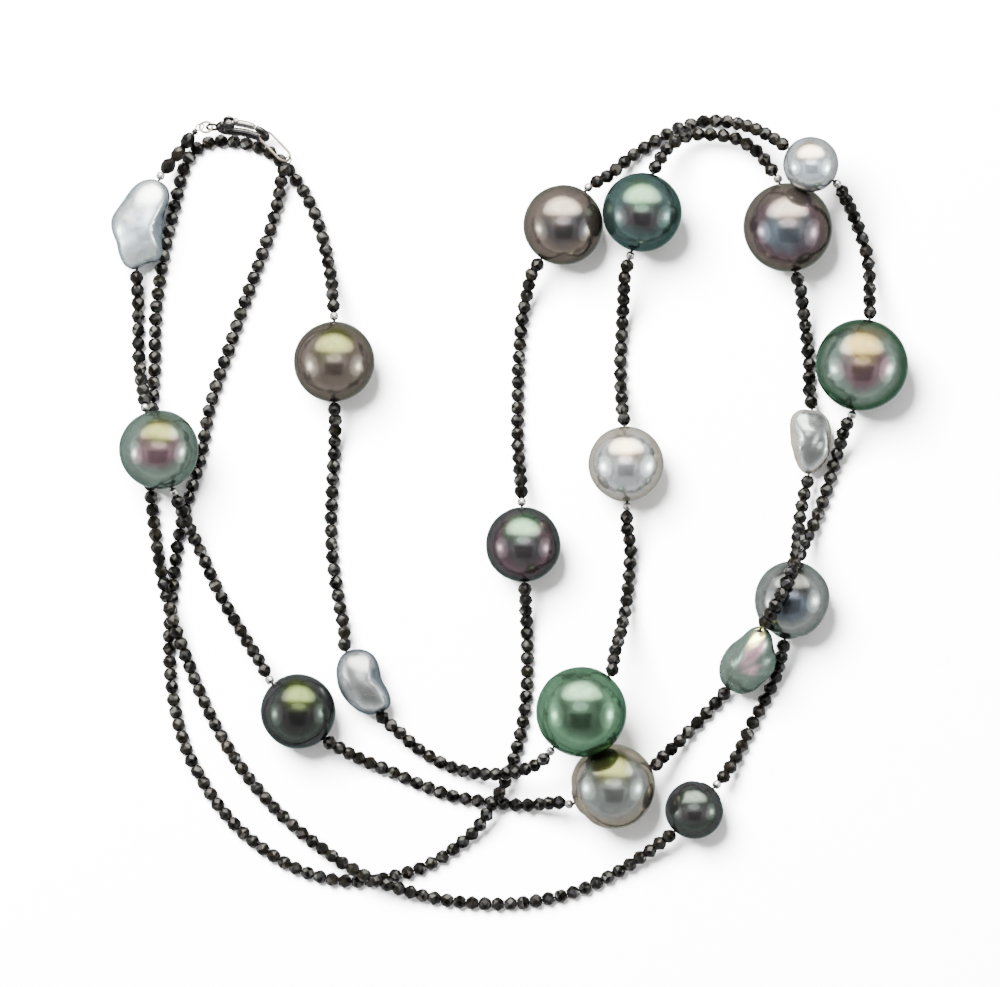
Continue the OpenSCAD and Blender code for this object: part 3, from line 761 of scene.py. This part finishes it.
class Pearl:
    """The form of one pearl. Sizes in millimetres, in a frame with Z along the hole, Y
    level to its left and X down. A dent or lump is (turn from the entry end, turn round
    the hole, spread, depth); angles in degrees, depth outward."""

    def __init__(self, width, height=None, taper=0.0, lumps=(), rings=(), uneven=0.06,
                 outline=None, reach=1.0):
        self.width = width
        self.height = height or width
        self.taper = taper
        self.lumps = lumps
        self.rings = rings
        self.uneven = uneven
        self.outline = outline
        self.reach = reach
        self.around = None

    def point(self, t, a, length, seed):
        out = Vector((math.sin(t) * math.cos(a), math.sin(t) * math.sin(a), -math.cos(t)))
        r = math.sin(t) * (1 - self.taper * math.cos(t))
        p = Vector((self.height / 2 * r * math.cos(a), self.width / 2 * r * math.sin(a),
                    -length / 2 * math.cos(t)))
        fade = min(1.0, math.sin(t) * 4)
        if self.outline:
            r = outline_radius(self.around, math.atan2(out.y, -math.cos(t)))
            p = Vector((self.height / 2 * out.x, r * out.y, -r * math.cos(t)))
        push = noise.noise(out * 1.3 + Vector((seed, 0, 0))) * self.uneven
        for lump_t, lump_a, spread, depth in self.lumps:
            lt, la = math.radians(lump_t), math.radians(lump_a)
            towards = Vector((math.sin(lt) * math.cos(la), math.sin(lt) * math.sin(la),
                              -math.cos(lt)))
            push += depth * math.exp(-(out.angle(towards) / math.radians(spread)) ** 2)
        for ring_t, spread, depth in self.rings:
            push -= depth * math.exp(-((math.degrees(t) - ring_t) / spread) ** 2)
        return p + out * push * fade


def make_pearl(i, form, material):
    node, middle, azimuth, rise, length = PEARLS[i]
    turn = along(heading(azimuth, rise))
    hole = PEARL_BORE / 2
    if form.outline:
        form.around = polar_outline(form.outline, middle, heading(azimuth, rise), form.reach)
    first = math.asin(min(1.0, 2 * hole / form.width))
    rings = []
    for row in range(ROWS + 1):
        t = first + (math.pi - 2 * first) * row / ROWS
        around = [2 * math.pi * k / COLUMNS for k in range(COLUMNS)]
        rings.append([form.point(t, a, length, i * SEED_STEP) for a in around])
    # the lips of the hole, then its wall
    for end, ring in ((0, list(rings[0])), (1, list(rings[-1]))):
        middle_of_lip = sum(ring, Vector()) / COLUMNS
        step = Vector((0, 0, LIP_DEPTH if end == 0 else -LIP_DEPTH))
        wall = [middle_of_lip + (p - middle_of_lip).normalized() * hole * 0.96 + step for p in ring]
        rings.insert(0 if end == 0 else len(rings), wall)
    build = Build()
    points = [Vector(middle) + turn @ p for ring in rings for p in ring]
    count = len(rings)
    faces = []
    for row in range(count):
        a, b = row * COLUMNS, (row + 1) % count * COLUMNS
        faces += [
            (a + k, b + k, b + (k + 1) % COLUMNS, a + (k + 1) % COLUMNS) for k in range(COLUMNS)
        ]
    build.add(points, faces)
    body = "_".join(node.split("_")[:2])
    return build.make(node + "_nacre", body, material, [node])


# Outlines of the four irregular pearls from above, clockwise from the top
BAROQUE = (
    (-50.6, 48.4), (-49.6, 47.6), (-49.1, 46.9), (-49.0, 46.0), (-49.6, 44.6), (-50.0, 43.4),
    (-50.3, 41.8), (-50.4, 39.9), (-50.2, 38.6), (-50.1, 37.5), (-50.8, 36.6), (-51.9, 36.3),
    (-52.9, 36.3), (-53.8, 35.3), (-54.8, 35.3), (-55.7, 36.0), (-56.3, 37.2), (-56.6, 38.5),
    (-56.6, 39.4), (-57.3, 40.4), (-57.7, 41.7), (-57.6, 42.9), (-56.8, 44.0), (-55.7, 45.5),
    (-54.8, 46.9), (-53.6, 48.0), (-52.3, 48.5), (-51.5, 48.6),
)
DROP = (
    (36.5, -16.5), (37.4, -16.7), (38.1, -17.5), (38.3, -18.5), (38.3, -19.8), (38.7, -20.5),
    (38.7, -21.7), (38.5, -22.8), (37.7, -23.8), (36.9, -24.5), (36.0, -25.5), (34.8, -26.0),
    (33.8, -26.2), (32.6, -25.7), (31.8, -25.1), (31.0, -24.3), (30.7, -23.1), (30.7, -22.0),
    (31.2, -20.7), (31.9, -19.6), (32.9, -18.8), (33.9, -18.0), (34.8, -17.0), (35.7, -16.5),
)
KESHI = (
    (43.9, 15.0), (44.8, 15.0), (45.7, 14.6), (46.4, 13.7), (46.8, 12.7), (46.9, 11.2),
    (46.8, 9.8), (46.5, 8.3), (45.8, 7.2), (45.0, 6.3), (44.1, 5.7), (43.2, 5.7),
    (42.3, 6.6), (41.9, 7.6), (41.5, 9.2), (41.2, 10.7), (41.0, 12.1), (41.0, 13.3),
    (41.3, 14.1), (42.1, 14.8), (42.9, 15.1),
)
KIDNEY = (
    (-22.6, -19.8), (-21.8, -19.6), (-20.6, -19.8), (-19.6, -20.4), (-18.9, -21.4),
    (-18.6, -22.5), (-18.5, -23.6), (-18.1, -24.6), (-17.5, -25.6), (-17.1, -26.8),
    (-17.0, -27.6), (-17.5, -28.3), (-18.6, -28.9), (-19.9, -29.2), (-21.2, -29.0),
    (-22.3, -28.2), (-23.5, -27.0), (-24.4, -25.6), (-24.8, -24.1), (-24.9, -22.8),
    (-24.6, -21.5), (-24.1, -20.5), (-23.3, -19.9),
)

FORMS = [
    Pearl(6.9, 7.2, lumps=[(128, 235, 20, 0.35), (140, 180, 18, -0.3), (100, 130, 26, -0.25)],
          uneven=0.12, outline=BAROQUE),
    Pearl(11.5, taper=-0.02, rings=[(156, 5, 0.1)], uneven=0.1),
    Pearl(10.9, uneven=0.08),
    Pearl(12.3, rings=[(22, 5, 0.16), (30, 4, 0.08)], uneven=0.12),
    Pearl(7.6, 7.6, uneven=0.12, outline=DROP, reach=1.14),
    Pearl(5.9, 5.6, lumps=[(60, 180, 24, -0.4), (110, 170, 20, 0.25), (90, 205, 16, -0.3),
          (70, 150, 15, 0.3), (130, 190, 20, -0.2)], uneven=0.25, outline=KESHI),
    Pearl(12.9, uneven=0.12),
    Pearl(11.5, uneven=0.08),
    Pearl(10.9, taper=-0.02, uneven=0.08),
    Pearl(13.1, uneven=0.1),
    Pearl(6.4, 6.6, lumps=[(95, 235, 26, -0.35), (40, 200, 30, 0.2)], uneven=0.12, outline=KIDNEY),
    Pearl(11.7, uneven=0.08),
    Pearl(8.5, rings=[(150, 5, 0.12), (140, 4, 0.08)], uneven=0.06),
    Pearl(10.8, taper=0.06, rings=[(24, 6, 0.14)], lumps=[(14, 180, 14, -0.25)], uneven=0.12),
    Pearl(13.4, uneven=0.1),
    Pearl(8.0, uneven=0.06),
    Pearl(11.6, uneven=0.08),
    Pearl(10.9, uneven=0.08),
]

# Colours of nacre: greys and silvers, then greens, then warm and rosy overtones
TONES = {
    "soot": "#303030",
    "charcoal": "#444244",
    "slate": "#586068",
    "ash": "#6c706e",
    "steel": "#7c868e",
    "silver": "#a0a4a6",
    "moonlight": "#c0ccd6",
    "ivory": "#aca498",
    "teal": "#3c4c4a",
    "spruce": "#343a36",
    "pine": "#3c5040",
    "sage": "#5e6c64",
    "fern": "#507058",
    "moss": "#343c22",
    "olive": "#424428",
    "lime": "#d0d084",
    "bronze": "#544a2c",
    "taupe": "#5c544e",
    "sand": "#8c8274",
    "wine": "#4a3e42",
    "mauve": "#6c585e",
    "rose": "#c4a0a8",
}

# Colours of each pearl: flanks, ring and heart, bands that are also painted sheen, and the painted
# highlight tint on its +Y side
LOOKS = [
    ("steel", "silver", "moonlight", "silver"),
    ("sage", "sage", "mauve", "olive"),
    ("charcoal", "spruce", "soot", "moss"),
    ("sand", "ash", "ash", "olive"),
    ("sage", "sage", "rose", "lime"),
    ("ivory", "silver", "ash", "ash"),
    ("taupe", "wine", "slate", "taupe"),
    ("teal", "teal", "charcoal", "pine"),
    ("ivory", "silver", "silver", "sand"),
    ("fern", "fern", "pine", "pine"),
    ("slate", "silver", "ash", "ash"),
    ("taupe", "taupe", "taupe", "olive"),
    ("charcoal", "spruce", "charcoal", "spruce"),
    ("ash", "ash", "slate", "soot"),
    ("pine", "sage", "mauve", "bronze"),
    ("silver", "silver", "moonlight", "sand"),
    ("taupe", "taupe", "charcoal", "taupe"),
    ("charcoal", "wine", "charcoal", "pine"),
]

EDGE_TINT = (0.4, 0.46, 0.44)

for index, (form, names) in enumerate(zip(FORMS, LOOKS)):
    label = "nacre_" + PEARLS[index][0].split("_", 2)[2]
    colours = [TONES[name] for name in names]
    make_pearl(index, form, nacre(label, colours, EDGE_TINT, index + 1, form.outline is not None))


# ---- clasp, in its own frame: X from eye to nose, Y towards the lever ----

CLASP_PLACE = Vector((-38.5, 56.1, 3.5))
CLASP_TURN = Matrix.Rotation(math.radians(60), 3, "X")
ARM_HALF = 1.85
GAP_HALF = 1.5
PIVOT = Vector((-2.0, 1.4, 0.0))
# How strongly the clasp bows, the X where that starts, and its share of the drawn width
BOW = 0.06
BOW_START = -1.5
NARROW = 0.74


def in_clasp(points):
    """Points of the straight clasp, bowed like the real one and set in its place."""
    placed = []
    for x, y, z in points:
        bow = BOW * max(0.0, x - BOW_START) ** 2
        flat = Vector((x, y * NARROW, z))
        placed.append(CLASP_PLACE + CLASP_TURN @ flat - Vector((0, bow, 0)))
    return placed


def arc(middle_x, start, end, count, r=GAP_HALF):
    turns = [math.radians(start + (end - start) * k / (count - 1)) for k in range(count)]
    return [(middle_x + r * math.cos(a), r * math.sin(a), 0.0) for a in turns]


def ring_points(middle, way, r, count=40):
    turn = along(way)
    turns = [2 * math.pi * k / count for k in range(count)]
    return [middle + turn @ Vector((r * math.cos(a), r * math.sin(a), 0)) for a in turns]


def make_clasp():
    body = Build()
    claw = arc(ARM_HALF, 88, -90, 18)
    claw += [(x, -GAP_HALF - 0.08 * math.cos(x * 0.8), 0.0) for x in (1.2, 0.4, -0.4, -1.2)]
    claw += arc(-ARM_HALF, -90, -236, 16)
    count = len(claw)
    radius = [0.42 + 0.18 * min(1.0, k / 5) for k in range(count)]
    radius = [r - (0.2 * max(0, k - count + 5) / 5) for k, r in enumerate(radius)]
    body.tube(in_clasp(claw), radius, 20)
    for side in (-1, 1):
        cheek = [(0.0, 0.37), (0.78, 0.37), (0.85, 0.44), (0.85, 0.68), (0.74, 0.77), (0.0, 0.78)]
        profile = [(r, side * h) for r, h in cheek]
        body.lathe(profile, 32, in_clasp([PIVOT])[0], CLASP_TURN)
    body.tube(in_clasp([(-3.9, 0, 0), (-3.6, 0, 0), (-3.3, 0, 0)]), [0.3, 0.36, 0.42], 16)
    across = CLASP_TURN @ Vector((0, 0, 1))
    eye = CLASP_PLACE + CLASP_TURN @ Vector((-4.45, 0, 0))
    body.tube(ring_points(eye, across, 0.75), 0.2, 14, closed=True)
    body.make("clasp_claw", "strand", CLASP_METAL_PART_PAINTED_SHADE, ["clasp_body"])

    lever = Build()
    arm = [
        (-2.0, 1.42, 0), (-1.4, 1.5, 0), (-0.8, 1.55, 0), (0.0, 1.56, 0), (0.8, 1.54, 0),
        (1.4, 1.5, 0), (1.86, 1.44, 0),
    ]
    lever.tube(in_clasp(arm), [0.34, 0.42, 0.5, 0.54, 0.54, 0.48, 0.36], 18)
    tab = [(-0.72, 1.6, 0), (-0.8, 2.0, 0), (-0.92, 2.35, 0), (-1.0, 2.55, 0), (-1.02, 2.75, 0)]
    lever.tube(in_clasp(tab), [0.26, 0.26, 0.34, 0.44, 0.3], 18)
    hub = [(0.3, -0.3), (0.54, -0.3), (0.6, -0.24), (0.6, 0.24), (0.54, 0.3), (0.3, 0.3)]
    lever.lathe(hub, 28, in_clasp([PIVOT])[0], CLASP_TURN)
    lever.make("clasp_thumb_lever", "lever", LEVER_METAL_PAINTED_HIGHLIGHT, ["clasp_lever"])

    jump = Build()
    circle = ring_points(JUMP_MIDDLE, CLASP_TURN @ Vector((0, 1, 0)), JUMP_R)
    jump.tube(circle, JUMP_WIRE / 2, 14, closed=True)
    jump.make("jump_ring_wire", "jump_ring", GILT, ["jump_ring"])


make_clasp()

OVAL_R = 1.15
OVAL_WIRE = 0.36
OVAL_ROLL = math.radians(48)


def make_end_ring():
    way = (OVAL_END - OVAL_START).normalized()
    left = UP.cross(way).normalized()
    down = left.cross(way)
    wide = down * math.cos(OVAL_ROLL) + left * math.sin(OVAL_ROLL)
    middle = (OVAL_START + OVAL_END) / 2
    straight = (OVAL_END - OVAL_START).length / 2 - OVAL_R
    path = []
    for side in (1, -1):
        for k in range(17):
            a = math.pi * k / 16
            ahead = way * side * (straight + OVAL_R * math.sin(a))
            path.append(middle + ahead + wide * side * OVAL_R * math.cos(a))
    build = Build()
    build.tube(path, OVAL_WIRE / 2, 14, closed=True)
    build.make("end_ring_wire", "end_ring", GILT, ["end_ring"])
    return wide


def make_thread_ends():
    build = Build()
    jump_wire_way = CLASP_TURN @ Vector((0, 0, 1))
    for middle, way, wire, r in (
        (LEFT_RING, LEFT_DIR, jump_wire_way, 0.6),
        (OVAL_END, RIGHT_DIR, make_end_ring(), 0.48),
    ):
        square = (wire - way * wire.dot(way)).normalized()
        build.tube(ring_points(middle, square, r), 0.1, 10, closed=True)
    build.make("thread_loops_tied", "strand", THREAD, ["thread_loops"])
    crimp = Build()
    profile = [
        (0.2, -0.3), (0.36, -0.3), (0.45, -0.2), (0.42, 0.0), (0.45, 0.2), (0.36, 0.3),
        (0.2, 0.3),
    ]
    crimp.lathe(profile, 24, LEFT_END - LEFT_DIR * 0.3, along(LEFT_DIR))
    crimp.make("crimp_bead_pressed", "strand", CLASP_METAL_PART_PAINTED_SHADE, ["crimp_bead"])


make_thread_ends()

for node in ("lever_pin", "lever_spring"):
    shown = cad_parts[node]
    shown.data.materials.clear()
    shown.data.materials.append(CLASP_METAL_PART_PAINTED_SHADE)

# ---- table ----


def make_table():
    shader = Shader("white_table", Roughness=0.7, Specular_IOR_Level=0.1)
    grain = shader.noise(30.0, 2.0)
    whites = [(0.0, (0.88, 0.88, 0.885)), (1.0, (0.90, 0.90, 0.90))]
    shader.to("Base Color", shader.ramp(grain, whites))
    half = 3.0
    mesh = bpy.data.meshes.new("table")
    corners = [(-half, -half, 0), (half, -half, 0), (half, half, 0), (-half, half, 0)]
    mesh.from_pydata(corners, [], [(0, 1, 2, 3)])
    mesh.materials.append(shader.material)
    table = bpy.data.objects.new("table", mesh)
    bpy.context.scene.collection.objects.link(table)
    table.visible_glossy = False
    under = bpy.data.objects.new("dark_under_table", mesh.copy())
    under.location.z = -0.0005
    under.visible_camera = False
    under.visible_diffuse = False
    grey = Shader("under_table", Roughness=0.8, Specular_IOR_Level=0.0, Emission_Strength=1.3)
    darks = [(0.0, (0.0, 0.0, 0.0)), (1.0, (0.01, 0.01, 0.01))]
    grey.to("Base Color", grey.ramp(grey.noise(30.0, 2.0), darks))
    grey.surface.inputs["Emission Color"].default_value = (1.0, 1.0, 1.0, 1.0)
    under.data.materials[0] = grey.material
    bpy.context.scene.collection.objects.link(under)


make_table()

# ---- light: a wide soft box beyond the top of the view, small lamps at the sides, a pale
# ceiling and a dark room towards the bottom of the view ----


def lamp(name, azimuth, elevation, distance, size, radiance, colour, shape="ELLIPSE"):
    """Area light in that direction; radiance is what it shows in a mirror."""
    data = bpy.data.lights.new(name, "AREA")
    data.shape = shape
    data.size, data.size_y = size
    area = size[0] * size[1] * (math.pi / 4 if shape == "ELLIPSE" else 1.0)
    data.energy = radiance * math.pi * area
    data.color = colour
    light = bpy.data.objects.new(name, data)
    way = heading(azimuth, elevation)
    light.location = way * distance
    light.rotation_euler = way.to_track_quat("Z", "Y").to_euler()
    light.visible_camera = False
    bpy.context.scene.collection.objects.link(light)
    return light


CREAM = (1.0, 0.96, 0.86)
LILAC = (0.92, 0.90, 1.0)
MINT = (0.93, 1.0, 0.95)

for size, elevation in (((1.7, 0.86), 33), ((1.3, 0.66), 34), ((0.85, 0.46), 35)):
    box = lamp("soft_box", 90, elevation, 0.75, size, 11.0, CREAM)
    box.visible_diffuse = False
key = lamp("key", 128, 57, 0.8, (0.46, 0.46), 270.0, (1.0, 1.0, 1.0))
key.visible_glossy = False
for side, azimuth in (("left", 188), ("right", -8)):
    for kind, elevation, distance, size, radiance in (
        ("_glow", 18, 0.82, (0.8, 0.75), 2.2),
        ("_panel", 16, 0.81, (0.42, 0.4), 3.5),
        ("_lamp", 15, 0.8, (0.2, 0.2), 24.0),
    ):
        lamp(side + kind, azimuth, elevation, distance, size, radiance, MINT).visible_diffuse = False
lamp("ceiling_panel", 90, 76, 1.1, (0.85, 0.42), 7.0, LILAC).visible_diffuse = False


def make_room():
    """A dim room under a lit ceiling, with the dark shape of a stand below the zenith."""
    world = bpy.data.worlds.new("room")
    bpy.context.scene.world = world
    world.use_nodes = True
    tree = world.node_tree
    way = tree.nodes.new("ShaderNodeTexCoord").outputs["Generated"]

    def math_node(operation, a, b=0.0):
        made = tree.nodes.new("ShaderNodeMath")
        made.operation = operation
        for socket, value in zip(made.inputs, (a, b)):
            if isinstance(value, (int, float)):
                socket.default_value = value
            else:
                tree.links.new(value, socket)
        return made.outputs["Value"]

    def ramp(source, stops):
        made = tree.nodes.new("ShaderNodeValToRGB")
        made.color_ramp.interpolation = "EASE"
        while len(made.color_ramp.elements) < len(stops):
            made.color_ramp.elements.new(0.5)
        for element, (where, bright) in zip(made.color_ramp.elements, stops):
            element.position = where
            element.color = (*bright, 1.0)
        tree.links.new(source, made.inputs["Fac"])
        return made.outputs["Color"]

    def grey(value):
        return (value, value, value)

    axes = tree.nodes.new("ShaderNodeSeparateXYZ")
    tree.links.new(way, axes.inputs[0])
    up = math_node("MAXIMUM", axes.outputs["Z"], 0.05)
    across = math_node("ABSOLUTE", math_node("DIVIDE", axes.outputs["X"], up))
    below = math_node("DIVIDE", math_node("MULTIPLY", axes.outputs["Y"], -1.0), up)
    heights = ((0.0, 2.0), (0.3, 1.1), (0.7, 0.8), (0.9, 2.0), (1.0, 2.6))
    sky = ramp(axes.outputs["Z"], [(height, grey(bright)) for height, bright in heights])
    wide = ramp(across, ((0.45, grey(1.0)), (0.68, grey(0.0))))
    steps = ((0.0, 0.0), (0.08, 1.0), (0.85, 1.0), (1.0, 0.0))
    low_side = ramp(below, [(step, grey(share)) for step, share in steps])
    stand = math_node("MULTIPLY", wide, low_side)
    mixed = tree.nodes.new("ShaderNodeMix")
    mixed.data_type = "RGBA"
    colours = [s for s in mixed.inputs if s.type == "RGBA"]
    tree.links.new(stand, mixed.inputs["Factor"])
    tree.links.new(sky, colours[0])
    colours[1].default_value = (0.06, 0.042, 0.034, 1.0)
    result = next(s for s in mixed.outputs if s.type == "RGBA")
    tree.links.new(result, tree.nodes["Background"].inputs["Color"])


make_room()
